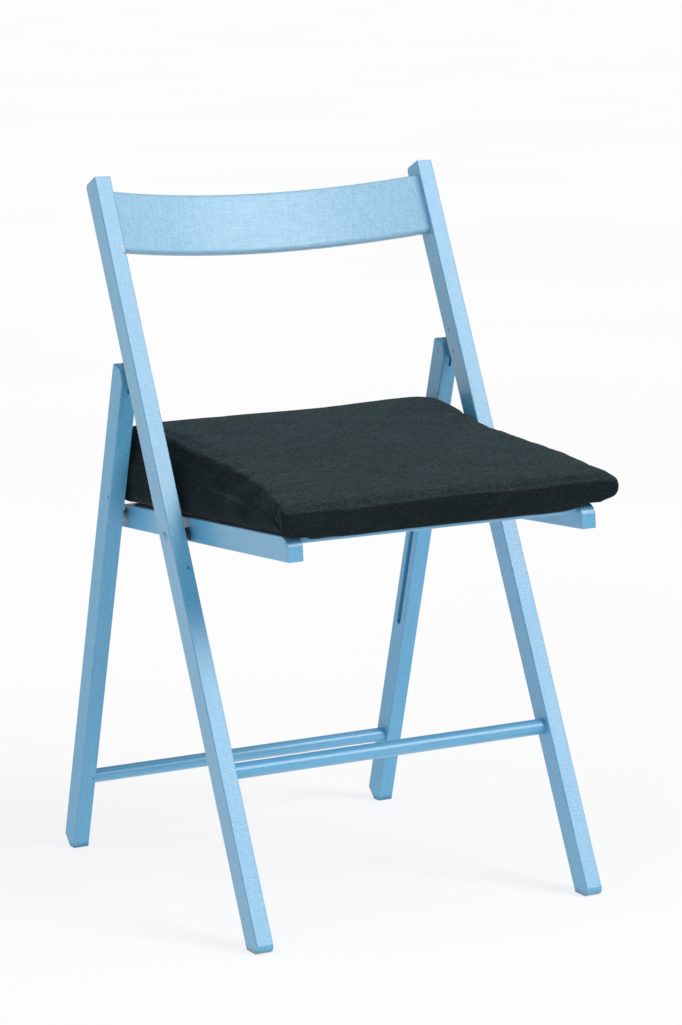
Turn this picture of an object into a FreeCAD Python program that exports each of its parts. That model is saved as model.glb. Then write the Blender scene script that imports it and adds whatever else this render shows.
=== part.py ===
import FreeCAD, Part
import math
import os

import Sketcher

# Wooden folding chair with a wedge seat cushion.
#
# Millimetres, +Z up. X runs across the chair, the sitter faces -Y, and the origin is on the floor,
# on the chair's middle plane, halfway between the front of the seat and the back of the rear feet.
#
# Three assemblies move against each other:
#   front frame  two leaning posts, curved back panel, front stretcher, hinge plates
#   rear frame   two rear legs and the rear stretcher, hinged to the plates behind the posts
#   seat         two rails, six slats and the cushion, pivoting on a bolt through each post;
#                its rear pins slide in the slots of the rear legs

DIMENSIONS = [
    # alias, value, what it is
    ("overall_width", 416.0, "outside of the posts and rear legs"),
    ("stick_wide", 19.0, "posts and legs, across the chair"),
    ("stick_deep", 26.0, "posts and legs, front to back"),
    ("stick_soften", 1.2, "eased edges of posts, legs and rails"),
    ("post_foot_y", -232.4, "front of the post where it meets the floor"),
    ("post_lean", 25.0, "post from the vertical, degrees"),
    ("post_length", 850.0, "post, along its own length"),
    ("post_toe_round", 7.0, "rounded toe of the post"),
    ("post_top_round", 5.0, "back corner of the post's top"),
    ("leg_lean", 16.7, "rear leg from the vertical, degrees"),
    ("leg_length", 591.0, "rear leg, along its own length"),
    ("leg_flat", 10.0, "part of the rear foot that stands flat"),
    ("leg_heel_lift", 5.0, "height of the foot's back bevel along the leg"),
    ("leg_nose_back", 8.0, "bevel at the front of the leg's top, depth"),
    ("leg_nose_drop", 12.0, "bevel at the front of the leg's top, height"),
    ("leg_top_round", 3.0, "back corner of the leg's top"),
    ("hinge_along_post", 639.9, "hinge pin, up the post"),
    ("hinge_behind", 47.7, "hinge pin, behind the post's front face"),
    ("kerf_wide", 3.0, "saw cut that takes the hinge plate"),
    ("kerf_deep", 24.0, "saw cut in the rear leg"),
    ("kerf_foot", 565.0, "lower end of the saw cut, up the rear leg"),
    ("plate_thick", 2.4, "hinge plate"),
    ("plate_tall", 38.0, "hinge plate inside the post"),
    ("plate_front", 6.0, "hinge plate's front edge, behind the post's front face"),
    ("plate_inset", 2.0, "where the plate starts to narrow, inside the post's back face"),
    ("plate_past_pin", 1.0, "how far the plate's straight edges run past the hinge pin"),
    ("plate_nose", 9.0, "radius of the hinge plate around the hinge pin"),
    ("plate_pin_behind", 15.5, "plate pins, behind the post's front face"),
    ("plate_pin_apart", 26.0, "between the two pins of a plate"),
    ("plate_pin_dia", 3.0, "plate pins"),
    ("hinge_pin_dia", 4.0, "hinge pins"),
    ("pin_long", 15.5, "plate pins and hinge pins"),
    ("pin_sunk", 0.6, "pins below the face they are driven into"),
    ("running_gap", 0.05, "radial clearance of everything that turns"),
    ("slot_wide", 8.0, "slot in the rear leg"),
    ("slot_deep", 9.0, "slot in the rear leg"),
    ("slot_high", 416.0, "centre of the slot's upper end, up the leg"),
    ("stretcher_dia", 17.0, "front stretcher"),
    ("stretcher_up_post", 194.6, "front stretcher, up the post"),
    ("stretcher_behind", 15.0, "front stretcher, behind the post's front face"),
    ("rear_stretcher_dia", 16.0, "rear stretcher"),
    ("stretcher_up_leg", 85.4, "rear stretcher, up the rear leg"),
    ("stretcher_in_leg", 12.0, "rear stretcher, behind the leg's front face"),
    ("housing_deep", 10.0, "how far stretchers and back panel enter the wood"),
    ("panel_low", 767.0, "lower edge of the back panel, up the post"),
    ("panel_high", 836.0, "upper edge of the back panel, up the post"),
    ("panel_thick", 12.0, "back panel"),
    ("panel_behind", 6.0, "back panel's ends, behind the post's front face"),
    ("panel_sag", 32.0, "depth of the back panel's curve between the posts"),
    ("panel_round", 4.5, "rounded long edges of the back panel"),
    ("brad_dia", 2.0, "brads through the posts into the back panel"),
    ("brad_long", 14.0, "brads through the posts into the back panel"),
    ("pivot_up_post", 451.0, "seat pivot, up the post"),
    ("pivot_dia", 6.0, "seat pivot bolt"),
    ("pivot_head_dia", 10.0, "domed head of the pivot bolt"),
    ("pivot_head_tall", 2.0, "domed head of the pivot bolt"),
    ("nut_flats", 9.0, "pivot nut across its flats"),
    ("nut_tall", 5.0, "pivot nut"),
    ("bolt_past_nut", 1.0, "bolt's end past the pivot nut"),
    ("side_gap", 0.2, "side clearance of the pivot spacers and nuts"),
    ("spacer_dia", 14.0, "spacer between post and seat rail"),
    ("seat_tilt", 3.5, "seat, front higher than back, degrees"),
    ("rail_gap", 8.0, "between a post and its seat rail"),
    ("rail_wide", 18.0, "seat rail, across the chair"),
    ("rail_tall", 25.5, "seat rail"),
    ("rail_above_pivot", 5.0, "rail's middle line above the pivot"),
    ("rail_front", 229.0, "front end of the rail, ahead of the pivot"),
    ("rail_back", 169.0, "back end of the rail, behind the pivot"),
    ("rail_nose_round", 13.0, "upper front corner of the rail"),
    ("rail_heel_round", 5.0, "upper back corner of the rail"),
    ("slide_dia", 7.0, "slide pin"),
    ("slide_short", 0.5, "slide pin stops this far short of the leg"),
    ("slide_head_dia", 11.0, "head of the slide pin"),
    ("slide_head_tall", 1.6, "head of the slide pin"),
    ("slide_washer_dia", 13.0, "washer on the slide pin"),
    ("slide_washer_tall", 1.2, "washer on the slide pin"),
    ("slat_wide", 50.0, "seat slat, front to back"),
    ("slat_thick", 8.0, "seat slat"),
    ("slat_gap", 12.0, "between two slats"),
    ("slat_front", 222.0, "front edge of the front slat, ahead of the pivot"),
    ("slat_under", 0.8, "slats below the top of the rails"),
    ("slat_tenon", 6.0, "how far a slat enters each rail"),
    ("slat_round", 3.0, "rounded long edges of the slats"),
    ("cushion_wide", 368.0, "cushion between the posts"),
    ("cushion_front", 230.0, "front of the cushion, ahead of the pivot"),
    ("cushion_back", 158.0, "back of the cushion, behind the pivot"),
    ("cushion_lip", 27.0, "cushion's height at its front lip"),
    ("cushion_lip_back", 6.0, "top of the lip, behind the cushion's front"),
    ("cushion_knee", 60.0, "cushion's height at its knee"),
    ("cushion_knee_ahead", 132.0, "knee, ahead of the pivot"),
    ("cushion_mid", 80.0, "cushion's height where the sitter's weight rests"),
    ("cushion_mid_behind", 20.0, "where the sitter's weight rests, behind the pivot"),
    ("cushion_tall", 87.0, "cushion's greatest height"),
    ("cushion_crest", 20.0, "line of greatest height, ahead of the cushion's back"),
    ("cushion_back_drop", 4.0, "cushion's back edge below its greatest height"),
    ("cover_thick", 1.5, "cushion cover"),
    ("base_thick", 1.5, "cushion's underside fabric"),
]

SIDES = (("left", -1), ("right", 1))
SLATS = ("front_slat", "second_slat", "third_slat", "fourth_slat", "fifth_slat", "rear_slat")

doc = FreeCAD.newDocument("folding_chair")
sheet = doc.addObject("Spreadsheet::Sheet", "dims")
for row, (alias, value, meaning) in enumerate(DIMENSIONS, start=1):
    sheet.set(f"A{row}", str(value))
    sheet.setAlias(f"A{row}", alias)
    sheet.set(f"B{row}", meaning)
doc.recompute()

# Planes and points that several pieces share, as expressions of the sheet.
INNER = "(dims.overall_width / 2 - dims.stick_wide)"
RAIL_OUT = f"({INNER} - dims.rail_gap)"
RAIL_IN = f"({RAIL_OUT} - dims.rail_wide)"
RAIL_LOW = "(dims.rail_above_pivot - dims.rail_tall / 2)"
RAIL_TOP = "(dims.rail_above_pivot + dims.rail_tall / 2)"
STICK_MID = "(dims.stick_deep / 2)"
POST_SIN, POST_COS = "sin(dims.post_lean * 1deg)", "cos(dims.post_lean * 1deg)"
LEG_SIN, LEG_COS = "sin(dims.leg_lean * 1deg)", "cos(dims.leg_lean * 1deg)"
SEAT_SIN, SEAT_COS = "sin(dims.seat_tilt * 1deg)", "cos(dims.seat_tilt * 1deg)"

# Seat pivot, on the post's middle line.
PIVOT_Y = f"(dims.post_foot_y + dims.pivot_up_post * {POST_SIN} + {STICK_MID} * {POST_COS})"
PIVOT_Z = f"(dims.pivot_up_post * {POST_COS} - {STICK_MID} * {POST_SIN})"

# Hinge of the rear legs, behind the posts. The leg hangs from it and reaches the floor.
HINGE_Y = (f"(dims.post_foot_y + dims.hinge_along_post * {POST_SIN}"
           f" + dims.hinge_behind * {POST_COS})")
HINGE_Z = f"(dims.hinge_along_post * {POST_COS} - dims.hinge_behind * {POST_SIN})"
HINGE_UP_LEG = f"(({HINGE_Z} - {STICK_MID} * {LEG_SIN}) / {LEG_COS})"
LEG_FOOT_Y = f"({HINGE_Y} + {HINGE_UP_LEG} * {LEG_SIN} - {STICK_MID} * {LEG_COS})"

# Slide pin, at the upper end of the leg's slot when the chair is open. REACH is its distance
# from the pivot. Folded, the leg lies along the post and the pin is at the slot's lower end.
SLIDE_Y = f"({LEG_FOOT_Y} - dims.slot_high * {LEG_SIN} + {STICK_MID} * {LEG_COS} - {PIVOT_Y})"
SLIDE_Z = f"(dims.slot_high * {LEG_COS} + {STICK_MID} * {LEG_SIN} - {PIVOT_Z})"
SLIDE_BEHIND = f"({SLIDE_Y} * {SEAT_COS} - {SLIDE_Z} * {SEAT_SIN})"
SLIDE_ABOVE = f"({SLIDE_Y} * {SEAT_SIN} + {SLIDE_Z} * {SEAT_COS})"
REACH = f"sqrt({SLIDE_Y} ^ 2 + {SLIDE_Z} ^ 2)"
SLOT_LOW = (f"({HINGE_UP_LEG} - dims.hinge_along_post + dims.pivot_up_post"
            f" - sqrt({REACH} ^ 2 - (dims.hinge_behind - {STICK_MID}) ^ 2))")

# Radius of the back panel's hollow face, from its curve's depth over the width between the posts.
PANEL_RADIUS = f"(({INNER} ^ 2 + dims.panel_sag ^ 2) / (2 * dims.panel_sag))"

# Radius of the ball that the pivot bolt's domed head is a cap of.
HEAD_BALL = ("((dims.pivot_head_dia ^ 2 / 4 + dims.pivot_head_tall ^ 2)"
             " / (2 * dims.pivot_head_tall))")

# Frames in which the pieces are drawn: where the frame's origin is, and its turn about X.
# Each has X across the chair, Y away from the sitter and Z up the wood or square to the seat.
POST_FRAME = ("0", "dims.post_foot_y", "0", "-dims.post_lean")
LEG_FRAME = ("0", LEG_FOOT_Y, "0", "dims.leg_lean")
SEAT_FRAME = ("0", PIVOT_Y, PIVOT_Z, "-dims.seat_tilt")


def number(expression):
    """Value of an expression of the sheet, as a plain number."""
    value = sheet.evalExpression(expression)
    return float(getattr(value, "Value", value))


def put_in(frame, piece, along_x="0"):
    """Places a piece in one of the frames, with its own shift along X."""
    x_shift, y_shift, z_shift, turn = frame
    piece.Placement = FreeCAD.Placement(
        FreeCAD.Vector(number(f"{x_shift} + {along_x}"), number(y_shift), number(z_shift)),
        FreeCAD.Rotation(FreeCAD.Vector(1, 0, 0), number(turn)))
    piece.setExpression("Placement.Base.x", f"({x_shift} + {along_x}) * 1mm")
    piece.setExpression("Placement.Base.y", f"({y_shift}) * 1mm")
    piece.setExpression("Placement.Base.z", f"({z_shift}) * 1mm")
    return piece


def new_body(name):
    return doc.addObject("PartDesign::Body", name)


def new_sketch(body, plane, lift="0"):
    """Empty sketch on one of the body's own origin planes, lifted along the plane's normal."""
    sketch = body.newObject("Sketcher::SketchObject", f"{body.Name}_{plane}")
    support = [item for item in body.Origin.OriginFeatures if item.Role == f"{plane}_Plane"][0]
    sketch.AttachmentSupport = [(support, "")]
    sketch.MapMode = "FlatFace"
    sketch.setExpression("AttachmentOffset.Base.z", f"({lift}) * 1mm")
    return sketch


def hold_point(sketch, geometry, point, across, up):
    """Fixes a sketch point at two expressions measured from the sketch's origin."""
    for kind, expression, axis in (("DistanceX", across, -2), ("DistanceY", up, -1)):
        value = number(expression)
        if abs(value) < 1e-9:
            sketch.addConstraint(Sketcher.Constraint("PointOnObject", geometry, point, axis))
            continue
        index = sketch.addConstraint(Sketcher.Constraint(kind, -1, 1, geometry, point, value))
        sketch.setExpression(f"Constraints[{index}]", expression)


def draw_outline(sketch, corners):
    """Closed polygon through corners given as pairs of expressions."""
    points = [FreeCAD.Vector(number(across), number(up), 0) for across, up in corners]
    count = len(points)
    for index in range(count):
        sketch.addGeometry(Part.LineSegment(points[index], points[(index + 1) % count]))
    for index in range(count):
        following = (index + 1) % count
        sketch.addConstraint(Sketcher.Constraint("Coincident", index, 2, following, 1))
    for index, (across, up) in enumerate(corners):
        hold_point(sketch, index, 1, across, up)
    return sketch


def draw_circles(sketch, centres, diameter):
    """Equal circles at centres given as pairs of expressions."""
    for across, up in centres:
        centre = FreeCAD.Vector(number(across), number(up), 0)
        circle = Part.Circle(centre, FreeCAD.Vector(0, 0, 1), number(diameter) / 2)
        geometry = sketch.addGeometry(circle)
        index = sketch.addConstraint(Sketcher.Constraint("Diameter", geometry, number(diameter)))
        sketch.setExpression(f"Constraints[{index}]", f"({diameter}) * 1mm")
        hold_point(sketch, geometry, 3, across, up)
    return sketch


def add_feature(body, kind, sketch, length, reverse=False):
    """Pad or Pocket of a sketch. A Pad follows the plane's normal, a Pocket goes against it."""
    feature = body.newObject(f"PartDesign::{kind}", f"{body.Name}_{kind}")
    feature.Profile = sketch
    feature.Reversed = reverse
    feature.setExpression("Length", f"({length}) * 1mm")
    doc.recompute()
    return feature


def edges_where(feature, test):
    """Names of the feature's edges that pass a test."""
    edges = feature.Shape.Edges
    return [f"Edge{index}" for index, edge in enumerate(edges, start=1) if test(edge)]


def runs_along_x_at(corners):
    """Test for edges that run along X through one of the given pairs of expressions."""
    places = [(number(across), number(up)) for across, up in corners]

    def test(edge):
        box = edge.BoundBox
        if box.XLength < 1 or box.YLength > 1e-4 or box.ZLength > 1e-4:
            return False
        return any(math.hypot(box.YMin - y, box.ZMin - z) < 1e-3 for y, z in places)
    return test


def lies_across_x(edge):
    """Test for edges that lie in a plane square to X: the outline of a side face."""
    return edge.BoundBox.XLength < 1e-4


def round_edges(body, radius, test):
    """Fillet on the edges of the body's last feature that pass a test."""
    base = body.Tip
    names = edges_where(base, test)
    if not names:
        raise RuntimeError(f"{body.Name}: no edge to round")
    fillet = body.newObject("PartDesign::Fillet", f"{body.Name}_Fillet")
    fillet.Base = (base, names)
    fillet.setExpression("Radius", f"({radius}) * 1mm")
    doc.recompute()
    return fillet


def cylinder_along_x(name, frame, start, length, diameter, back, up):
    """Cylinder along X. start is its low-X end, back and up its axis in the frame."""
    rod = doc.addObject("Part::Cylinder", name)
    rod.setExpression("Radius", f"({diameter}) / 2 * 1mm")
    rod.setExpression("Height", f"({length}) * 1mm")
    local = FreeCAD.Placement(
        FreeCAD.Vector(number(start), number(back), number(up)),
        FreeCAD.Rotation(FreeCAD.Vector(0, 1, 0), 90))
    x_shift, y_shift, z_shift, turn = frame
    frame_place = FreeCAD.Placement(
        FreeCAD.Vector(number(x_shift), number(y_shift), number(z_shift)),
        FreeCAD.Rotation(FreeCAD.Vector(1, 0, 0), number(turn)))
    rod.Placement = frame_place.multiply(local)
    return rod


def side_rod(name, frame, side, inside, length, diameter, back, up):
    """Cylinder along X on one side of the chair. inside is its end nearest the middle plane."""
    start = inside if side > 0 else f"-({inside}) - ({length})"
    return cylinder_along_x(name, frame, start, length, diameter, back, up)


def cut(name, base, tools):
    """Base with every tool taken out of it."""
    for index, tool in enumerate(tools, start=1):
        result = doc.addObject("Part::Cut", f"{name}_cut_{index}")
        result.Base = base
        result.Tool = tool
        base = result
    doc.recompute()
    return base


def join(name, pieces):
    """Separate or touching pieces as one object."""
    group = doc.addObject("Part::MultiFuse", f"{name}_join")
    group.Shapes = pieces
    doc.recompute()
    return group


def gather(name, pieces):
    """Equal fasteners as one group of separate solids."""
    group = doc.addObject("Part::Compound", f"{name}_group")
    group.Links = pieces
    doc.recompute()
    return group


finished = {}


def finish(name, piece):
    piece.Label = name
    finished[name] = piece
    return piece


def make_stick(name, frame, side, corners, rounds):
    """Square-sided length of wood: outline in its side view, padded outwards from its inner face.

    rounds lists (corner, radius) pairs. Every outline edge is then eased.
    """
    body = put_in(frame, new_body(name), f"{side} * {INNER}")
    sketch = draw_outline(new_sketch(body, "YZ"), corners)
    add_feature(body, "Pad", sketch, "dims.stick_wide", reverse=side < 0)
    for corner, radius in rounds:
        round_edges(body, radius, runs_along_x_at([corner]))
    round_edges(body, "dims.stick_soften", lies_across_x)
    return body


def drill_inner_face(body, side, centres, diameter, depth):
    """Holes from a stick's inner face. Depth is measured outwards."""
    sketch = draw_circles(new_sketch(body, "YZ"), centres, diameter)
    return add_feature(body, "Pocket", sketch, depth, reverse=side > 0)


def saw_kerf(body, side, low, high, face, depth, reverse):
    """Saw cut in the middle of a stick's front or back face, for the hinge plate."""
    near = f"{side} * (dims.stick_wide - dims.kerf_wide) / 2"
    far = f"{side} * (dims.stick_wide + dims.kerf_wide) / 2"
    # The XZ plane's normal points along -Y, so the lift is minus the depth behind the front face.
    sketch = new_sketch(body, "XZ", f"-({face})")
    draw_outline(sketch, [(near, low), (far, low), (far, high), (near, high)])
    return add_feature(body, "Pocket", sketch, depth, reverse=reverse)


def make_stretchers():
    """Round rods between the posts and between the rear legs."""
    reach = f"({INNER} + dims.housing_deep)"
    front = cylinder_along_x("front_rod", POST_FRAME, f"-{reach}", f"2 * {reach}",
                             "dims.stretcher_dia", "dims.stretcher_behind",
                             "dims.stretcher_up_post")
    rear = cylinder_along_x("rear_rod", LEG_FRAME, f"-{reach}", f"2 * {reach}",
                            "dims.rear_stretcher_dia", "dims.stretcher_in_leg",
                            "dims.stretcher_up_leg")
    doc.recompute()
    finish("front_stretcher", front)
    finish("rear_stretcher", rear)


def make_back_panel():
    """Curved panel: a slice of a tube whose axis stands in front of the sitter's back."""
    reach = f"({INNER} + dims.housing_deep)"
    tall = "(dims.panel_high - dims.panel_low) * 1mm"
    axis_y = number(f"dims.panel_behind + dims.panel_sag - {PANEL_RADIUS}")

    tube = doc.addObject("Part::Cylinder", "panel_outside")
    tube.setExpression("Radius", f"({PANEL_RADIUS} + dims.panel_thick) * 1mm")
    bore = doc.addObject("Part::Cylinder", "panel_inside")
    bore.setExpression("Radius", f"{PANEL_RADIUS} * 1mm")
    for cylinder in (tube, bore):
        cylinder.setExpression("Height", tall)
        cylinder.Placement.Base = FreeCAD.Vector(0, axis_y, number("dims.panel_low"))
    ring = cut("panel_ring", tube, [bore])
    window = doc.addObject("Part::Box", "panel_window")
    window.setExpression("Length", f"2 * {reach} * 1mm")
    window.setExpression("Width", "4 * dims.panel_sag * 1mm")
    window.setExpression("Height", tall)
    window.Placement.Base = FreeCAD.Vector(
        -number(reach), -number("dims.panel_sag"), number("dims.panel_low"))
    slice_of_ring = doc.addObject("Part::Common", "panel_slice")
    slice_of_ring.Base = ring
    slice_of_ring.Tool = window
    doc.recompute()

    panel = doc.addObject("Part::Fillet", "panel_fillet")
    panel.Base = slice_of_ring
    radius = number("dims.panel_round")
    long_edges = [index for index, edge in enumerate(slice_of_ring.Shape.Edges, start=1)
                  if edge.BoundBox.XLength > number(reach)]
    panel.Edges = [(index, radius, radius) for index in long_edges]
    put_in(POST_FRAME, panel)
    finish("backrest_panel", cut("backrest_panel", panel, [finished["panel_brads"]]))


def make_brads():
    """Brads driven from the back of each post into the ends of the back panel."""
    frame = FreeCAD.Placement(
        FreeCAD.Vector(0, number("dims.post_foot_y"), 0),
        FreeCAD.Rotation(FreeCAD.Vector(1, 0, 0), -number("dims.post_lean")))
    brads = []
    for name, side in SIDES:
        across = side * number(f"{INNER} + dims.housing_deep / 2")
        for share in (0.25, 0.75):
            up = number(f"dims.panel_low + {share} * (dims.panel_high - dims.panel_low)")
            brad = doc.addObject("Part::Cylinder", f"{name}_brad")
            brad.setExpression("Radius", "dims.brad_dia / 2 * 1mm")
            brad.setExpression("Height", "dims.brad_long * 1mm")
            local = FreeCAD.Placement(
                FreeCAD.Vector(across, number("dims.stick_deep"), up),
                FreeCAD.Rotation(FreeCAD.Vector(1, 0, 0), 90))
            brad.Placement = frame.multiply(local)
            brads.append(brad)
    finish("panel_brads", gather("panel_brads", brads))


def plate_pin_places():
    """The two pins of a hinge plate, as (behind, up) in the post's frame."""
    return [("dims.plate_pin_behind", f"dims.hinge_along_post {sign} dims.plate_pin_apart / 2")
            for sign in ("-", "+")]


def make_post(name, side):
    """Leaning post, cut level at the foot, with housings for everything it carries."""
    foot_back = "dims.stick_deep * tan(dims.post_lean * 1deg)"
    corners = [("0", "0"), ("dims.stick_deep", foot_back),
               ("dims.stick_deep", "dims.post_length"), ("0", "dims.post_length")]
    rounds = [(corners[0], "dims.post_toe_round"), (corners[2], "dims.post_top_round")]
    body = make_stick(f"{name}_post_wood", POST_FRAME, side, corners, rounds)
    low = "dims.hinge_along_post - dims.plate_tall / 2"
    high = "dims.hinge_along_post + dims.plate_tall / 2"
    saw_kerf(body, side, low, high, "dims.stick_deep",
             "dims.stick_deep - dims.plate_front", reverse=True)
    drill_inner_face(body, side, plate_pin_places(), "dims.plate_pin_dia",
                     "dims.pin_long + dims.pin_sunk")
    drill_inner_face(body, side, [(STICK_MID, "dims.pivot_up_post")], "dims.pivot_dia",
                     "dims.stick_wide")
    tools = [finished["backrest_panel"], finished["front_stretcher"], finished["panel_brads"]]
    finish(f"{name}_post", cut(f"{name}_post", body, tools))


def make_leg(name, side):
    """Rear leg: bevelled foot, slot for the seat's slide pin, saw cut for the hinge plate."""
    flat_end = "-dims.leg_flat * tan(dims.leg_lean * 1deg)"
    nose_low = "dims.leg_length - dims.leg_nose_drop"
    corners = [("0", "0"), ("dims.leg_flat", flat_end), ("dims.stick_deep", "dims.leg_heel_lift"),
               ("dims.stick_deep", "dims.leg_length"), ("dims.leg_nose_back", "dims.leg_length"),
               ("0", nose_low)]
    body = make_stick(f"{name}_leg_wood", LEG_FRAME, side, corners,
                      [(corners[3], "dims.leg_top_round")])
    saw_kerf(body, side, "dims.kerf_foot", "dims.leg_length + dims.leg_nose_drop", "0",
             "dims.kerf_deep", reverse=False)
    drill_inner_face(body, side, [(STICK_MID, HINGE_UP_LEG)], "dims.hinge_pin_dia",
                     "dims.pin_long + dims.pin_sunk")
    front = f"{STICK_MID} - dims.slot_wide / 2"
    back = f"{STICK_MID} + dims.slot_wide / 2"
    low = f"{SLOT_LOW} - dims.slot_wide / 2"
    high = "dims.slot_high + dims.slot_wide / 2"
    slot = draw_outline(new_sketch(body, "YZ"), [(front, low), (back, low), (back, high),
                                                 (front, high)])
    add_feature(body, "Pocket", slot, "dims.slot_deep", reverse=side > 0)
    ends = [(front, low), (back, low), (back, high), (front, high)]
    round_edges(body, "dims.slot_wide / 2 - 0.01", runs_along_x_at(ends))
    finish(f"{name}_rear_leg", cut(f"{name}_rear_leg", body, [finished["rear_stretcher"]]))


def make_hinge_plate(name, side):
    """Steel plate set in the post's saw cut. The rear leg turns on its nose."""
    middle = "dims.hinge_along_post"
    half = "dims.plate_tall / 2"
    nose = "dims.hinge_behind + dims.plate_past_pin"
    back = "dims.stick_deep - dims.plate_inset"
    inner = f"{side} * ({INNER} + (dims.stick_wide - dims.plate_thick) / 2)"
    body = put_in(POST_FRAME, new_body(f"{name}_plate_steel"), inner)
    outline = [("dims.plate_front", f"{middle} - {half}"), (back, f"{middle} - {half}"),
               (nose, f"{middle} - dims.plate_nose"), (nose, f"{middle} + dims.plate_nose"),
               (back, f"{middle} + {half}"), ("dims.plate_front", f"{middle} + {half}")]
    add_feature(body, "Pad", draw_outline(new_sketch(body, "YZ"), outline), "dims.plate_thick",
                reverse=side < 0)
    hinge = [("dims.hinge_behind", middle)]
    add_feature(body, "Pad", draw_circles(new_sketch(body, "YZ"), hinge, "2 * dims.plate_nose"),
                "dims.plate_thick", reverse=side < 0)
    drill_inner_face(body, side, plate_pin_places(), "dims.plate_pin_dia", "dims.plate_thick")
    drill_inner_face(body, side, hinge, "dims.hinge_pin_dia + 2 * dims.running_gap",
                     "dims.plate_thick")
    finish(f"{name}_hinge_plate", body)


def make_hinge_pins():
    """Pins that hold the plates in the posts, and the hinge pins in the rear legs."""
    inside = f"{INNER} + dims.pin_sunk"
    plate_pins = [side_rod(f"{name}_plate_pin", POST_FRAME, side, inside, "dims.pin_long",
                           "dims.plate_pin_dia", back, up)
                  for name, side in SIDES for back, up in plate_pin_places()]
    hinge_pins = [side_rod(f"{name}_hinge_pin", LEG_FRAME, side, inside, "dims.pin_long",
                           "dims.hinge_pin_dia", STICK_MID, HINGE_UP_LEG)
                  for name, side in SIDES]
    finish("hinge_plate_pins", gather("hinge_plate_pins", plate_pins))
    finish("leg_hinge_pins", gather("leg_hinge_pins", hinge_pins))


def make_bolt_head(name, side):
    """Low dome on the outside of the post: the cap of a ball, with its pole pointing outwards."""
    head = doc.addObject("Part::Sphere", f"{name}_head")
    head.setExpression("Radius", f"{HEAD_BALL} * 1mm")
    head.Angle1 = math.degrees(math.asin(1 - number(f"dims.pivot_head_tall / {HEAD_BALL}")))
    centre = side * number(f"dims.overall_width / 2 + dims.pivot_head_tall - {HEAD_BALL}")
    head.Placement = FreeCAD.Placement(
        FreeCAD.Vector(centre, number(PIVOT_Y), number(PIVOT_Z)),
        FreeCAD.Rotation(FreeCAD.Vector(0, 1, 0), side * 90))
    return head


def make_pivot_parts():
    """Seat pivots: a bolt through each post and rail, a spacer between them, a nut inside."""
    bolts = []
    spacers = []
    nuts = []
    bolt_end = f"({RAIL_IN} - dims.side_gap - dims.nut_tall - dims.bolt_past_nut)"
    shank = f"dims.overall_width / 2 + dims.pivot_head_tall / 2 - {bolt_end}"
    bore = "dims.pivot_dia + 2 * dims.running_gap"
    for name, side in SIDES:
        rod = side_rod(f"{name}_bolt_shank", SEAT_FRAME, side, bolt_end, shank,
                       "dims.pivot_dia", "0", "0")
        bolts.append(join(f"{name}_bolt", [rod, make_bolt_head(name, side)]))
        inside = f"{RAIL_OUT} + dims.side_gap"
        tube_long = "dims.rail_gap - dims.side_gap"
        tube = side_rod(f"{name}_spacer_outside", SEAT_FRAME, side, inside, tube_long,
                        "dims.spacer_dia", "0", "0")
        hole = side_rod(f"{name}_spacer_bore", SEAT_FRAME, side, inside, tube_long, bore,
                        "0", "0")
        spacers.append(cut(f"{name}_spacer", tube, [hole]))
        nuts.append(make_nut(name, side))
    finish("seat_pivot_bolts", gather("seat_pivot_bolts", bolts))
    finish("pivot_spacers", gather("pivot_spacers", spacers))
    finish("pivot_nuts", gather("pivot_nuts", nuts))


def make_nut(name, side):
    """Hexagon nut on the bolt's inner end."""
    prism = doc.addObject("Part::Prism", f"{name}_nut_hexagon")
    prism.Polygon = 6
    prism.setExpression("Circumradius", "dims.nut_flats / sqrt(3) * 1mm")
    prism.setExpression("Height", "dims.nut_tall * 1mm")
    low_x = number(f"{RAIL_IN} - dims.side_gap - dims.nut_tall")
    if side < 0:
        low_x = -low_x - number("dims.nut_tall")
    prism.Placement = FreeCAD.Placement(
        FreeCAD.Vector(low_x, number(PIVOT_Y), number(PIVOT_Z)),
        FreeCAD.Rotation(FreeCAD.Vector(0, 1, 0), 90))
    inside = f"{RAIL_IN} - dims.side_gap - dims.nut_tall"
    thread = side_rod(f"{name}_nut_thread", SEAT_FRAME, side, inside, "dims.nut_tall",
                      "dims.pivot_dia", "0", "0")
    return cut(f"{name}_nut", prism, [thread])


def make_slide_pins():
    """Pins at the back of the rails that ride down the slots of the rear legs, with washers."""
    pins = []
    washers = []
    back, up = SLIDE_BEHIND, SLIDE_ABOVE
    for name, side in SIDES:
        shank = side_rod(f"{name}_slide_shank", SEAT_FRAME, side, RAIL_IN,
                         "dims.rail_wide + dims.rail_gap - dims.slide_short",
                         "dims.slide_dia", back, up)
        head = side_rod(f"{name}_slide_head", SEAT_FRAME, side,
                        f"{RAIL_IN} - dims.slide_head_tall", "dims.slide_head_tall",
                        "dims.slide_head_dia", back, up)
        pins.append(join(f"{name}_slide_pin", [shank, head]))
        disc = side_rod(f"{name}_washer_disc", SEAT_FRAME, side, RAIL_OUT,
                        "dims.slide_washer_tall", "dims.slide_washer_dia", back, up)
        washers.append(cut(f"{name}_washer", disc, [shank]))
    finish("slide_pins", gather("slide_pins", pins))
    finish("slide_pin_washers", gather("slide_pin_washers", washers))


def make_slats():
    """Six slats between the rails, each with its ends let into them."""
    reach = f"({RAIL_IN} + dims.slat_tenon)"
    top = f"({RAIL_TOP} - dims.slat_under)"
    for index, name in enumerate(SLATS):
        front = f"(-dims.slat_front + {index} * (dims.slat_wide + dims.slat_gap))"
        back = f"({front} + dims.slat_wide)"
        low = f"({top} - dims.slat_thick)"
        body = put_in(SEAT_FRAME, new_body(f"{name}_wood"), f"-{reach}")
        corners = [(front, low), (back, low), (back, top), (front, top)]
        sketch = draw_outline(new_sketch(body, "YZ"), corners)
        add_feature(body, "Pad", sketch, f"2 * {reach}")
        round_edges(body, "dims.slat_round", runs_along_x_at(corners))
        finish(name, body)


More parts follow.
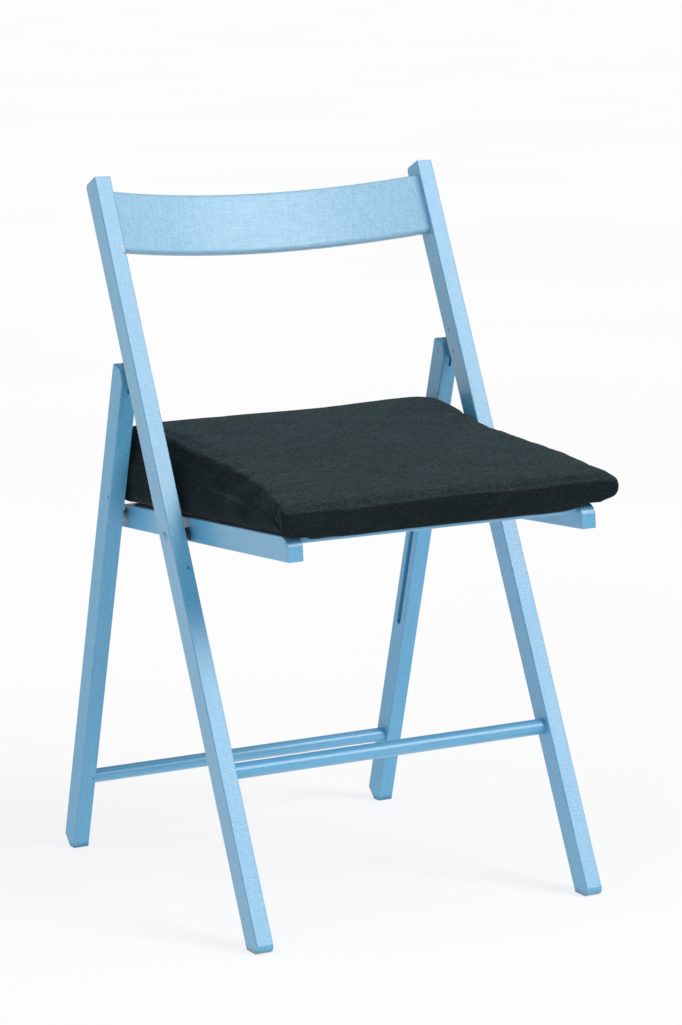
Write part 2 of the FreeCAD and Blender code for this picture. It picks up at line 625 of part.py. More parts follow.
def make_rail(name, side):
    """Seat rail: rounded nose, pivot hole, mortises for the slats, hole for the slide pin."""
    front, back = "-dims.rail_front", "dims.rail_back"
    corners = [(front, RAIL_LOW), (back, RAIL_LOW), (back, RAIL_TOP), (front, RAIL_TOP)]
    body = put_in(SEAT_FRAME, new_body(f"{name}_rail_wood"), f"{side} * {RAIL_IN}")
    sketch = draw_outline(new_sketch(body, "YZ"), corners)
    add_feature(body, "Pad", sketch, "dims.rail_wide", reverse=side < 0)
    round_edges(body, "dims.rail_nose_round", runs_along_x_at([corners[3]]))
    round_edges(body, "dims.rail_heel_round", runs_along_x_at([corners[2]]))
    round_edges(body, "dims.stick_soften", lies_across_x)
    drill_inner_face(body, side, [("0", "0")], "dims.pivot_dia + 2 * dims.running_gap",
                     "dims.rail_wide")
    tools = [finished[slat] for slat in SLATS] + [finished["slide_pins"]]
    finish(f"{name}_seat_rail", cut(f"{name}_seat_rail", body, tools))


def wedge_body(name, low):
    """Cushion wedge in its side view, from its front lip up to its tall back."""
    front, back = "-dims.cushion_front", "dims.cushion_back"
    top = f"{RAIL_TOP} + dims.cushion_tall"
    corners = [(front, low), (back, low), (back, f"{top} - dims.cushion_back_drop"),
               (f"{back} - dims.cushion_crest", top),
               ("dims.cushion_mid_behind", f"{RAIL_TOP} + dims.cushion_mid"),
               ("-dims.cushion_knee_ahead", f"{RAIL_TOP} + dims.cushion_knee"),
               (f"{front} + dims.cushion_lip_back", f"{RAIL_TOP} + dims.cushion_lip")]
    body = put_in(SEAT_FRAME, new_body(name), "-dims.cushion_wide / 2")
    add_feature(body, "Pad", draw_outline(new_sketch(body, "YZ"), corners), "dims.cushion_wide")
    return body


def make_cushion():
    """Underside fabric, cover open at the bottom, and the foam wedge that fills it."""
    floor = f"{RAIL_TOP} + dims.base_thick"
    base = put_in(SEAT_FRAME, new_body("base_fabric"), "-dims.cushion_wide / 2")
    front, back = "-dims.cushion_front", "dims.cushion_back"
    corners = [(front, RAIL_TOP), (back, RAIL_TOP), (back, floor), (front, floor)]
    add_feature(base, "Pad", draw_outline(new_sketch(base, "YZ"), corners), "dims.cushion_wide")
    finish("cushion_base", base)

    cover = wedge_body("cover_fabric", floor)
    pad = cover.Tip
    low = number(floor)
    open_faces = [f"Face{index}" for index, face in enumerate(pad.Shape.Faces, start=1)
                  if face.BoundBox.ZLength < 1e-4 and abs(face.BoundBox.ZMin - low) < 1e-3]
    shell = cover.newObject("PartDesign::Thickness", "cover_wall")
    shell.Base = (pad, open_faces)
    shell.Reversed = True
    shell.Join = 1
    shell.setExpression("Value", "dims.cover_thick * 1mm")
    doc.recompute()
    finish("cushion_cover", cover)
    finish("cushion_foam", cut("foam", wedge_body("foam_block", floor), [cover]))


def check_and_export():
    """Every object must have computed, and every sub-part must be a valid shape."""
    doc.recompute()
    for item in doc.Objects:
        if "Invalid" in item.State or "Error" in item.State:
            raise RuntimeError(f"{item.Name} failed: {item.State}")
    for name, piece in finished.items():
        if piece.Shape.isNull() or not piece.Shape.isValid():
            raise RuntimeError(f"{name} has no valid shape")
    os.makedirs("parts", exist_ok=True)
    for name, piece in finished.items():
        piece.Shape.exportStep(f"parts/{name}.step")
        box = piece.Shape.BoundBox
        print(f"{name}: {len(piece.Shape.Solids)} solid(s), {piece.Shape.Volume / 1000:.1f} cm3,"
              f" X {box.XMin:.1f} to {box.XMax:.1f}, Y {box.YMin:.1f} to {box.YMax:.1f},"
              f" Z {box.ZMin:.1f} to {box.ZMax:.1f}")


def print_linkage():
    """Pivots, fold angle and seat turn, for the joints."""
    fold = number("dims.post_lean + dims.leg_lean")
    open_angle = math.degrees(math.atan2(-number(SLIDE_Z), number(SLIDE_Y)))
    below = number("dims.hinge_behind") - number(STICK_MID)
    # Folded, the pin hangs below the pivot, this far round from straight back.
    folded_angle = 90 + number("dims.post_lean") - math.degrees(math.asin(below / number(REACH)))
    turn = folded_angle - open_angle
    print(f"hinge at Y {number(HINGE_Y):.3f} Z {number(HINGE_Z):.3f},"
          f" seat pivot at Y {number(PIVOT_Y):.3f} Z {number(PIVOT_Z):.3f},"
          f" rear feet from Y {number(LEG_FOOT_Y):.3f}")
    print(f"legs fold {fold:.2f} degrees, seat turns {turn:.2f}, leg to seat {fold / turn:.5f},"
          f" slot from {number(SLOT_LOW):.1f} to {number('dims.slot_high'):.1f} up the leg")


make_stretchers()
make_brads()
make_back_panel()
for side_name, side_sign in SIDES:
    make_post(side_name, side_sign)
    make_leg(side_name, side_sign)
    make_hinge_plate(side_name, side_sign)
make_hinge_pins()
make_pivot_parts()
make_slide_pins()
make_slats()
for side_name, side_sign in SIDES:
    make_rail(side_name, side_sign)
make_cushion()
check_and_export()
print_linkage()
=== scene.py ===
import math

import bpy
from mathutils import Matrix, Vector, noise
from mathutils.bvhtree import BVHTree


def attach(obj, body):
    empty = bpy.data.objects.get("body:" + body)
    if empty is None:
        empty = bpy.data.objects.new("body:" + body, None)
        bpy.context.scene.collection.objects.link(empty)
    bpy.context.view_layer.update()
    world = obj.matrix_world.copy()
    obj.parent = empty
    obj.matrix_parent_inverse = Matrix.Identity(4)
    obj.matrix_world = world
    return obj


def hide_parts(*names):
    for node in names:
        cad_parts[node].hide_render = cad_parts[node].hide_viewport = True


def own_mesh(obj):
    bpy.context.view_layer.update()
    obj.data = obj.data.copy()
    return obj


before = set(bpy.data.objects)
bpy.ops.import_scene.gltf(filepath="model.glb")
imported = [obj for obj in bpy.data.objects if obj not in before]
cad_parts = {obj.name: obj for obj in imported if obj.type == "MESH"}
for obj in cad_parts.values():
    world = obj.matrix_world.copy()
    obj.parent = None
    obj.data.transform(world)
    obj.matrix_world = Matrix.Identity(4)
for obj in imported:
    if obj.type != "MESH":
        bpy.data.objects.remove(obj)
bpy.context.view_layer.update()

MM = 0.001

# ---------------------------------------------------------------------------
# Frames of the object
# ---------------------------------------------------------------------------

# Lengths in millimetres. RAIL_TOP is the seat rails' top above the pivot, in the seat's own frame.
POST_LEAN = math.radians(25.0)
LEG_LEAN = math.radians(16.7)
SEAT_TILT = math.radians(3.5)
POST_FOOT_Y = -232.4
PIVOT = Vector((0.0, -30.017, 403.251))
RAIL_TOP = 17.75


def from_seat(x, back, up):
    """Point in metres from millimetres in the seat's own frame: across, behind and above its pivot."""
    y = PIVOT.y + back * math.cos(SEAT_TILT) + up * math.sin(SEAT_TILT)
    z = PIVOT.z - back * math.sin(SEAT_TILT) + up * math.cos(SEAT_TILT)
    return Vector((x, y, z)) * MM


def to_seat(point):
    """Millimetres in the seat's own frame from a point in metres."""
    y = point.y / MM - PIVOT.y
    z = point.z / MM - PIVOT.z
    back = y * math.cos(SEAT_TILT) - z * math.sin(SEAT_TILT)
    up = y * math.sin(SEAT_TILT) + z * math.cos(SEAT_TILT)
    return point.x / MM, back, up


def ahead_of_post(back, up):
    """Millimetres between a place in the seat's frame and the posts' front faces, positive in front."""
    place = from_seat(0.0, back, up) / MM
    return (POST_FOOT_Y - place.y) * math.cos(POST_LEAN) + place.z * math.sin(POST_LEAN)


def ease(value, low, high):
    """Smooth step from 0 at low to 1 at high."""
    share = min(max((value - low) / (high - low), 0.0), 1.0)
    return share * share * (3 - 2 * share)


def along(points, value):
    """Height at a place on straight lines between (place, height) pairs, level past both ends."""
    if value <= points[0][0]:
        return points[0][1]
    for (x0, y0), (x1, y1) in zip(points, points[1:]):
        if value <= x1:
            share = (value - x0) / (x1 - x0)
            return y0 + (y1 - y0) * share
    return points[-1][1]


# ---------------------------------------------------------------------------
# Materials
# ---------------------------------------------------------------------------

class Nodes:
    """Short hand for building one material's node tree."""

    def __init__(self, name):
        self.material = bpy.data.materials.new(name)
        self.material.use_nodes = True
        self.tree = self.material.node_tree
        self.tree.nodes.clear()
        self.output = self.tree.nodes.new("ShaderNodeOutputMaterial")
        self.shader = self.tree.nodes.new("ShaderNodeBsdfPrincipled")
        self.join(self.shader, "BSDF", self.output, "Surface")

    def join(self, source, out, target, socket):
        self.tree.links.new(source.outputs[out], target.inputs[socket])

    def node(self, kind, **settings):
        made = self.tree.nodes.new(kind)
        for key, value in settings.items():
            setattr(made, key, value)
        return made

    def put(self, target, socket, value):
        """Links an output or sets a plain value."""
        if isinstance(value, bpy.types.NodeSocket):
            self.tree.links.new(value, target.inputs[socket])
        else:
            target.inputs[socket].default_value = value

    def math(self, operation, first, second=0.0, third=0.0):
        made = self.node("ShaderNodeMath", operation=operation)
        for index, value in enumerate((first, second, third)):
            self.put(made, index, value)
        return made.outputs[0]

    def vector(self, operation, first, second=(0.0, 0.0, 0.0)):
        made = self.node("ShaderNodeVectorMath", operation=operation)
        self.put(made, 0, first)
        self.put(made, 1, second)
        return made.outputs["Value" if operation == "DISTANCE" else 0]

    def combine(self, value):
        """The same value on all three axes."""
        made = self.node("ShaderNodeCombineXYZ")
        for axis in range(3):
            self.put(made, axis, value)
        return made.outputs[0]

    def split(self, value):
        """The three axes of a vector."""
        made = self.node("ShaderNodeSeparateXYZ")
        self.put(made, "Vector", value)
        return made.outputs

    def place(self, turn=0.0):
        """The object's own coordinates in metres, turned about X."""
        coords = self.node("ShaderNodeTexCoord")
        mapping = self.node("ShaderNodeMapping")
        self.join(coords, "Object", mapping, "Vector")
        mapping.inputs["Rotation"].default_value = (turn, 0.0, 0.0)
        return mapping.outputs[0]

    def noise(self, coords, per_metre, detail=2.0, roughness=0.5, shift=0.0):
        """Noise with its own number of features per metre along each axis."""
        stretched = self.vector("MULTIPLY", coords, per_metre)
        moved = self.vector("ADD", stretched, (shift, shift * 0.7, shift * 1.3))
        made = self.node("ShaderNodeTexNoise")
        self.put(made, "Vector", moved)
        made.inputs["Scale"].default_value = 1.0
        made.inputs["Detail"].default_value = detail
        made.inputs["Roughness"].default_value = roughness
        return made.outputs["Fac"]

    def ramp(self, value, low, high, to_low=0.0, to_high=1.0):
        """Smooth step between two values. low may be above high."""
        made = self.node("ShaderNodeMapRange")
        made.interpolation_type = "SMOOTHSTEP"
        self.put(made, "Value", value)
        made.inputs["From Min"].default_value = low
        made.inputs["From Max"].default_value = high
        made.inputs["To Min"].default_value = to_low
        made.inputs["To Max"].default_value = to_high
        return made.outputs["Result"]

    def mix(self, share, first, second):
        """Blend of two colours. The sockets' numbers are those of the node's colour mode."""
        made = self.node("ShaderNodeMix", data_type="RGBA", blend_type="MIX")
        self.put(made, "Factor", share)
        for index, value in ((6, first), (7, second)):
            self.put(made, index, value if isinstance(value, bpy.types.NodeSocket) else (*value, 1.0))
        return made.outputs[2]

    def bump(self, height, strength, depth, under=None):
        made = self.node("ShaderNodeBump")
        made.inputs["Strength"].default_value = strength
        made.inputs["Distance"].default_value = depth
        self.put(made, "Height", height)
        if under is not None:
            self.put(made, "Normal", under)
        return made.outputs["Normal"]

    def finish(self, colour, roughness, normal, **constants):
        self.put(self.shader, "Base Color", colour)
        self.put(self.shader, "Roughness", roughness)
        if normal is not None:
            self.put(self.shader, "Normal", normal)
        for key, value in constants.items():
            self.shader.inputs[key.replace("_", " ")].default_value = value
        return self.material


BLUE = (0.095, 0.370, 0.615)
BLUE_LIGHT = (0.150, 0.430, 0.670)
BLUE_DEEP = (0.055, 0.280, 0.500)
# The panel's tones are lighter than the other paint: painted highlight for the key's broad reflection
# over the curved panel.
PANEL_HIGHLIGHT_TONES = ((0.180, 0.440, 0.670), (0.270, 0.540, 0.760), (0.400, 0.650, 0.840))
# Darker paint for painted shade: the first in dents, the second on the feet near the floor.
DENT_SHADE = (0.020, 0.130, 0.230)
FOOT_SHADE = (0.030, 0.170, 0.290)
WOOD_BROWN = (0.420, 0.130, 0.040)
WOOD_PALE = (0.700, 0.480, 0.180)

# Features of the paint per metre. A pair gives them across and along the grain. The two sets of
# threads have them for each axis.
PEEL_RATE = 430.0
STREAK_RATES = (430.0, 14.0)
WAVE_RATES = (60.0, 9.0)
PATCH_RATE = 11.0
DENT_RATES = (46.0, 30.0)
THREAD_RATES = ((55.0, 900.0, 900.0), (760.0, 760.0, 60.0))


def by_grain(rates, long_axis):
    """Rates for the three axes from those across and along the grain."""
    across, lengthwise = rates
    return tuple(lengthwise if axis == long_axis else across for axis in range(3))


def add_linen(nodes, coords, colour, normal, amount, shift, tones):
    """Fine threads across and upright, like linen under the paint."""
    deep, _, bright = tones
    across = nodes.noise(coords, THREAD_RATES[0], 3.0, 0.65, shift + 17.0)
    upright = nodes.noise(coords, THREAD_RATES[1], 3.0, 0.65, shift + 19.0)
    threads = nodes.math("ADD", across, upright)
    colour = nodes.mix(nodes.ramp(threads, 0.92, 1.14, 0.0, 0.6 * amount), colour, bright)
    colour = nodes.mix(nodes.ramp(threads, 1.02, 0.82, 0.0, 0.5 * amount), colour, deep)
    return colour, nodes.bump(threads, 0.30 * amount, 0.0003, normal)


def add_dents(nodes, coords, colour, normal, share, peel, long_axis):
    """Dents in a share of the cells of a Voronoi pattern, with painted shade in them."""
    cells = nodes.node("ShaderNodeTexVoronoi")
    nodes.put(cells, "Vector", nodes.vector("MULTIPLY", coords, by_grain(DENT_RATES, long_axis)))
    cells.inputs["Scale"].default_value = 1.0
    number = nodes.node("ShaderNodeSeparateColor")
    nodes.join(cells, "Color", number, "Color")
    chosen = nodes.math("LESS_THAN", number.outputs[0], share)
    ragged = nodes.math("MULTIPLY_ADD", peel, 0.05, cells.outputs["Distance"])
    spot = nodes.math("MULTIPLY", nodes.ramp(ragged, 0.105, 0.075), chosen)
    # Painted shade: the paint in the dents is darker.
    colour = nodes.mix(spot, colour, DENT_SHADE)
    return colour, nodes.bump(nodes.math("SUBTRACT", 1.0, spot), 0.6, 0.0005, normal)


def add_chips(nodes, raw, colour, roughness, normal, chips, peel):
    """Ragged spots at (centre in metres, radius, colour): bare wood, or painted shade in a dent."""
    for centre, radius, wood in chips:
        away = nodes.vector("DISTANCE", raw, centre)
        ragged = nodes.math("MULTIPLY_ADD", peel, radius * 0.9, away)
        bare = nodes.ramp(ragged, radius * 1.35, radius * 1.1)
        colour = nodes.mix(bare, colour, wood)
        roughness = nodes.math("MULTIPLY_ADD", bare, 0.4, roughness)
        normal = nodes.bump(nodes.math("SUBTRACT", 1.0, bare), 0.7, 0.0004, normal)
    return colour, roughness, normal


def paint(name, turn=0.0, grain="Z", speckle=1.0, linen=0.0, dents=0.0, chips=(), shift=0.0,
          tones=(BLUE_DEEP, BLUE, BLUE_LIGHT), coat=0.75, gloss=(0.30, 0.46)):
    """Satin brush paint on wood: grain streaks, orange peel, bare chips, painted shade in dents and
    feet.

    turn brings the wood's length upright. chips holds (centre in metres, radius, colour).
    """
    deep, middle, bright = tones
    nodes = Nodes(name)
    coords = nodes.place(turn)
    long_axis = "XYZ".index(grain)
    streaks = nodes.noise(coords, by_grain(STREAK_RATES, long_axis), 3.0, 0.6, shift)
    peel = nodes.noise(coords, (PEEL_RATE,) * 3, 2.0, 0.6, shift + 3.0)
    waves = nodes.noise(coords, by_grain(WAVE_RATES, long_axis), 2.0, 0.5, shift + 7.0)
    patches = nodes.noise(coords, (PATCH_RATE,) * 3, 3.0, 0.6, shift + 11.0)

    colour = nodes.mix(nodes.ramp(streaks, 0.36, 0.64, 0.0, 0.45), middle, bright)
    light_dots = nodes.ramp(peel, 0.50, 0.66, 0.0, 0.75 * speckle)
    colour = nodes.mix(light_dots, colour, bright)
    dark_dots = nodes.ramp(peel, 0.46, 0.30, 0.0, 0.40 * speckle)
    colour = nodes.mix(dark_dots, colour, deep)
    colour = nodes.mix(nodes.ramp(patches, 0.42, 0.66, 0.0, 0.22), colour, bright)
    roughness = nodes.ramp(peel, 0.30, 0.70, *gloss)
    normal = nodes.bump(waves, 0.25, 0.0008)
    normal = nodes.bump(streaks, 0.20, 0.0003, normal)
    normal = nodes.bump(peel, 0.95 * speckle, 0.0006, normal)
    if linen:
        colour, normal = add_linen(nodes, coords, colour, normal, linen, shift, tones)
    if dents:
        colour, normal = add_dents(nodes, coords, colour, normal, dents, peel, long_axis)

    raw = nodes.place()
    # Painted shade on the feet: darker paint up to about 10 mm above the floor, with a ragged top.
    foot_shade_height = nodes.math("MULTIPLY_ADD", peel, 0.004, nodes.split(raw)[2])
    colour = nodes.mix(nodes.ramp(foot_shade_height, 0.010, 0.003, 0.0, 0.8), colour, FOOT_SHADE)
    colour, roughness, normal = add_chips(nodes, raw, colour, roughness, normal, chips, peel)
    return nodes.finish(colour, roughness, normal, Specular_IOR_Level=0.60, Coat_Weight=coat,
                        Coat_Roughness=0.28)


# Marks in the paint that the photo shows: centre in metres, radius, colour of what shows. The
# legs' marks lie on the outer face of the left one.
# The dark marks are dents with painted shade in them; the others are bare wood.
OUTER_FACE = -0.208
POST_MARKS = (
    ((-0.1925, 0.0932, 0.6978), 0.0022, WOOD_PALE),
    ((-0.1912, 0.0897, 0.6906), 0.0018, WOOD_BROWN),
    ((OUTER_FACE, -0.1996, 0.0319), 0.0014, DENT_SHADE),
)
LEG_MARKS = (
    ((OUTER_FACE, 0.113, 0.4245), 0.0026, DENT_SHADE),
    ((OUTER_FACE, 0.100, 0.378), 0.0022, DENT_SHADE),
    ((OUTER_FACE, 0.1076, 0.3425), 0.0026, DENT_SHADE),
    ((OUTER_FACE, 0.192, 0.131), 0.0018, DENT_SHADE),
    ((OUTER_FACE, 0.200, 0.094), 0.0018, DENT_SHADE),
)


def metal(name, tint):
    """Dull zinc plate with fine turning marks and faint stains."""
    nodes = Nodes(name)
    coords = nodes.place()
    rings = nodes.noise(coords, (2200.0, 300.0, 300.0), 3.0, 0.6)
    stains = nodes.noise(coords, (160.0, 160.0, 160.0), 3.0, 0.6, 5.0)
    dark = tuple(part * 0.55 for part in tint)
    colour = nodes.mix(nodes.ramp(stains, 0.35, 0.65), tint, dark)
    roughness = nodes.ramp(rings, 0.3, 0.7, 0.28, 0.52)
    normal = nodes.bump(rings, 0.3, 0.0001)
    return nodes.finish(colour, roughness, normal, Metallic=1.0)


def plastic(name):
    """Black moulded plastic with faint scuffs."""
    nodes = Nodes(name)
    coords = nodes.place()
    grain = nodes.noise(coords, (900.0, 900.0, 900.0), 2.0, 0.5)
    scuffs = nodes.noise(coords, (250.0, 60.0, 250.0), 3.0, 0.6, 2.0)
    colour = nodes.mix(nodes.ramp(scuffs, 0.4, 0.7), (0.020, 0.021, 0.022), (0.055, 0.056, 0.058))
    roughness = nodes.ramp(grain, 0.3, 0.7, 0.45, 0.65)
    return nodes.finish(colour, roughness, nodes.bump(grain, 0.3, 0.0001))


# Shares of the two noises that make the threads uneven, and how far a face looks up where the
# painted light on the top starts and where it is full.
HEATHER_SHARES = (0.55, 0.45)
UPWARD = (0.55, 0.99)


def thread_waves(nodes, coords, pitch):
    """A sine along each axis, one half wave per thread, bent a little by noise."""
    wobble = nodes.noise(coords, (90.0, 90.0, 90.0), 2.0, 0.5, 4.0)
    centred = nodes.vector("ADD", nodes.combine(wobble), (-0.5, -0.5, -0.5))
    bent = nodes.vector("ADD", coords, nodes.vector("MULTIPLY", centred, (0.0012, 0.0012, 0.0012)))
    parts = nodes.split(bent)
    return [nodes.math("SINE", nodes.math("MULTIPLY", parts[axis], math.pi / pitch))
            for axis in range(3)]


def blend_by_facing(nodes, normals, turns):
    """Plain weave from the two axes that lie in the face, blended where the face turns."""
    shares = []
    for axis in range(3):
        size = nodes.math("ABSOLUTE", normals[axis])
        shares.append(nodes.math("POWER", size, 4.0))
    total = nodes.math("ADD", nodes.math("ADD", shares[0], shares[1]), shares[2])
    weave = None
    for axis, (first, second) in enumerate(((1, 2), (0, 2), (0, 1))):
        cloth = nodes.math("MULTIPLY", turns[first], turns[second])
        part = nodes.math("MULTIPLY", cloth, nodes.math("DIVIDE", shares[axis], total))
        weave = part if weave is None else nodes.math("ADD", weave, part)
    return weave


def woven(name, dark, light, pitch, lit_top=None, depth=0.00035, sheen=0.35, tint=(0.5, 0.6, 0.62)):
    """Plain weave seen from whichever side faces out, with slubs running across the chair.

    Faces that look up get lighter threads, of the colour given for them: painted light on the top.
    """
    nodes = Nodes(name)
    coords = nodes.place(SEAT_TILT)
    turns = thread_waves(nodes, coords, pitch)
    normals = nodes.split(nodes.node("ShaderNodeTexCoord").outputs["Normal"])
    weave = blend_by_facing(nodes, normals, turns)
    slubs = nodes.noise(coords, (260.0, 270.0, 900.0), 3.0, 0.7, 9.0)
    warp = nodes.noise(coords, (700.0, 190.0, 700.0), 3.0, 0.7, 13.0)
    cloud = nodes.noise(coords, (28.0, 40.0, 28.0), 3.0, 0.6, 21.0)
    heather = nodes.math("ADD", nodes.math("MULTIPLY", slubs, HEATHER_SHARES[0]),
                         nodes.math("MULTIPLY", warp, HEATHER_SHARES[1]))
    low, threads = dark, light
    # Painted light on the top: faces that look up get lighter threads.
    if lit_top is not None:
        upward = nodes.ramp(normals[2], *UPWARD)
        low = nodes.mix(upward, dark, tuple(part * 0.32 for part in lit_top))
        threads = nodes.mix(upward, light, lit_top)
    colour = nodes.mix(nodes.ramp(heather, 0.38, 0.62), low, threads)
    shade = nodes.ramp(cloud, 0.35, 0.65, 0.0, 0.35)
    colour = nodes.mix(shade, colour, low)
    height = nodes.math("MULTIPLY_ADD", weave, 0.4, nodes.math("MULTIPLY", heather, 2.6))
    normal = nodes.bump(nodes.noise(coords, (45.0, 70.0, 45.0), 2.0, 0.5, 2.0), 0.35, 0.0016)
    normal = nodes.bump(height, 0.7, depth, normal)
    roughness = nodes.ramp(heather, 0.3, 0.7, 0.82, 0.96)
    return nodes.finish(colour, roughness, normal, Sheen_Weight=sheen, Sheen_Roughness=0.30,
                        Sheen_Tint=(*tint, 1.0), Specular_IOR_Level=0.04)


def floor_material():
    """Matt grey that gives off light of its own, so that it looks near white."""
    nodes = Nodes("studio_floor")
    coords = nodes.place()
    drift = nodes.noise(coords, (0.6, 0.6, 0.6), 2.0, 0.5)
    colour = nodes.mix(nodes.ramp(drift, 0.3, 0.7), (0.25, 0.25, 0.25), (0.27, 0.27, 0.27))
    return nodes.finish(colour, 0.75, None, Specular_IOR_Level=0.0, Emission_Strength=0.76,
                        Emission_Color=(1.0, 1.0, 1.0, 1.0))


# ---------------------------------------------------------------------------
# Mesh helpers
# ---------------------------------------------------------------------------

def mesh_object(name, points, faces, smooth=True):
    mesh = bpy.data.meshes.new(name)
    mesh.from_pydata([tuple(point) for point in points], [], faces)
    mesh.validate()
    mesh.polygons.foreach_set("use_smooth", [smooth] * len(mesh.polygons))
    made = bpy.data.objects.new(name, mesh)
    bpy.context.scene.collection.objects.link(made)
    return made


def apply_modifiers(piece):
    """Replaces a piece's mesh with its modifiers' result."""
    bpy.context.view_layer.update()
    graph = bpy.context.evaluated_depsgraph_get()
    mesh = bpy.data.meshes.new_from_object(piece.evaluated_get(graph))
    piece.modifiers.clear()
    piece.data = mesh


def tube(name, path, radius, material, sides=6):
    """Round tube with closed ends through points in metres."""
    points, faces = [], []
    last = len(path) - 1
    for index, point in enumerate(path):
        ahead = path[min(index + 1, last)] - path[max(index - 1, 0)]
        ahead.normalize()
        side = ahead.cross(Vector((0.0, 0.0, 1.0)))
        if side.length < 0.1:
            side = ahead.cross(Vector((1.0, 0.0, 0.0)))
        side.normalize()
        rise = side.cross(ahead)
        for step in range(sides):
            angle = 2 * math.pi * step / sides
            points.append(point + radius * (math.cos(angle) * side + math.sin(angle) * rise))
    for index in range(last):
        ring, following = index * sides, (index + 1) * sides
        for step in range(sides):
            after = (step + 1) % sides
            faces.append((ring + step, ring + after, following + after, following + step))
    faces.append(tuple(range(sides))[::-1])
    faces.append(tuple(last * sides + step for step in range(sides)))
    made = mesh_object(name, points, faces)
    made.data.materials.append(material)
    return made


def cover_tree(piece):
    """Search tree of a piece's faces."""
    return BVHTree.FromPolygons([vertex.co for vertex in piece.data.vertices],
                                [tuple(face.vertices) for face in piece.data.polygons])


# ---------------------------------------------------------------------------
# Cushion
# ---------------------------------------------------------------------------

# Millimetres in the seat's own frame, as everywhere below: "back" is behind the pivot and "up"
# above it. The wedge runs from FRONT to BACK. Its nose rises from NOSE_TOP to the shoulder, and
# WEDGE_LINE gives (back, up) of the top from there on. LEFT_EDGE gives (back, x) of the top's left
# edge, which lies inside the rail where the cover sinks in beside the post.
FRONT, BACK = -239.0, 165.0
NOSE_TOP = 38.5
SHOULDER = -228.0
WEDGE_LINE = ((SHOULDER, 44.5), (128.0, 105.0), (148.0, 102.0), (BACK, 96.0))
LEFT_EDGE = ((-232.0, -188.5), (-200.0, -183.0), (-150.0, -168.0), (-81.0, -160.0), (48.0, -171.0),
             (119.0, -178.0), (BACK, -182.0))
CROWN = 3.5
# The raised right rear corner.
EAR, EAR_BACK, EAR_LENGTH = 12.0, 68, 58
# The underside: its gap over the rails, how deep the nose droops, the share of the width that
# counts as edge, the edge's rise from front to rear, and the lift of the nose's right tip.
UNDER_GAP = 1.6
DROOP = 7.0
EDGE_SHARE = 0.06
EDGE_RISE, EDGE_DROP = 3.5, 1.5
TIP_LIFT = 9.0
# Half the width between the posts, the height where the left side starts to lean in, and how far
# the right side spreads just ahead of the post and further on.
HALF_WIDTH = 187.5
SIDE_FOOT = 24
NEAR_SPREAD, FAR_SPREAD = 16.0, 8.5


def cushion_top(share, back):
    """Height of the top, share 0 at the left edge to 1 at the right edge."""
    if back < SHOULDER:
        return NOSE_TOP + (WEDGE_LINE[0][1] - NOSE_TOP) * (back - FRONT) / (SHOULDER - FRONT)
    crown = CROWN * math.sin(math.pi * share) * ease(back, SHOULDER, -120) * ease(BACK - back, 0, 60)
    ear = EAR * ease(share, 0.72, 0.97) * math.exp(-((back - EAR_BACK) / EAR_LENGTH) ** 2)
    return along(WEDGE_LINE, back) + crown + ear


def cushion_bottom(share, back):
    """Height of the underside. It droops over the front slat's edge and lifts at the sides."""
    droop = ease(-back, 214, 230)
    edge = max(0.0, EDGE_SHARE - min(share, 1 - share)) / EDGE_SHARE
    lift = edge * edge * (EDGE_RISE * ease(back, -60, 60) - EDGE_DROP)
    tip = TIP_LIFT * ease(share, 0.88, 1.0) * droop
    return RAIL_TOP + UNDER_GAP - DROOP * droop * (1 - 0.6 * edge) + lift + tip


def cushion_sides(back, up):
    """Left and right edges. Ahead of the posts the left side sinks in and the right one spreads."""
    ahead = ahead_of_post(back, up)
    high = ease(up, SIDE_FOOT, along(WEDGE_LINE, max(back, SHOULDER)))
    left = -HALF_WIDTH + (HALF_WIDTH + along(LEFT_EDGE, back)) * high
    right = HALF_WIDTH + NEAR_SPREAD * ease(ahead, 2, 50) + FAR_SPREAD * ease(ahead, 60, 110)
    return left, right


def cushion_cage():
    """Closed cage of the wedge: the outer points of a box lattice, in metres, and its faces."""
    across = [0.0, 0.02, 0.06, 0.15, 0.3, 0.5, 0.7, 0.85, 0.94, 0.98, 1.0]
    backs = [FRONT, FRONT + 4, FRONT + 12, -210, -190, -160, -130, -95, -60, -30, 0, 30, 60, 90, 120,
             BACK - 12, BACK - 3, BACK]
    heights = [0.0, 0.08, 0.25, 0.5, 0.75, 0.92, 1.0]
    places, points, faces = {}, [], []
    last = (len(across) - 1, len(backs) - 1, len(heights) - 1)
    for i, share in enumerate(across):
        for j, back in enumerate(backs):
            for k, rise in enumerate(heights):
                if 0 < i < last[0] and 0 < j < last[1] and 0 < k < last[2]:
                    continue
                low = cushion_bottom(share, back)
                high = cushion_top(share, back)
                up = low + (high - low) * rise
                left, right = cushion_sides(back, up)
                places[i, j, k] = len(points)
                points.append(from_seat(left + (right - left) * share, back, up))
    for axis in range(3):
        first, second = [other for other in range(3) if other != axis]
        for end in (0, last[axis]):
            for a in range(last[first]):
                for b in range(last[second]):
                    corners = []
                    for da, db in ((0, 0), (1, 0), (1, 1), (0, 1)):
                        key = [0, 0, 0]
                        key[axis], key[first], key[second] = end, a + da, b + db
                        corners.append(places[tuple(key)])
                    flip = (end == 0) != (axis == 1)
                    faces.append(tuple(corners[::-1] if flip else corners))
    return points, faces


CLOTH_FRAMES = 20
INWARD_CUT = 0.67


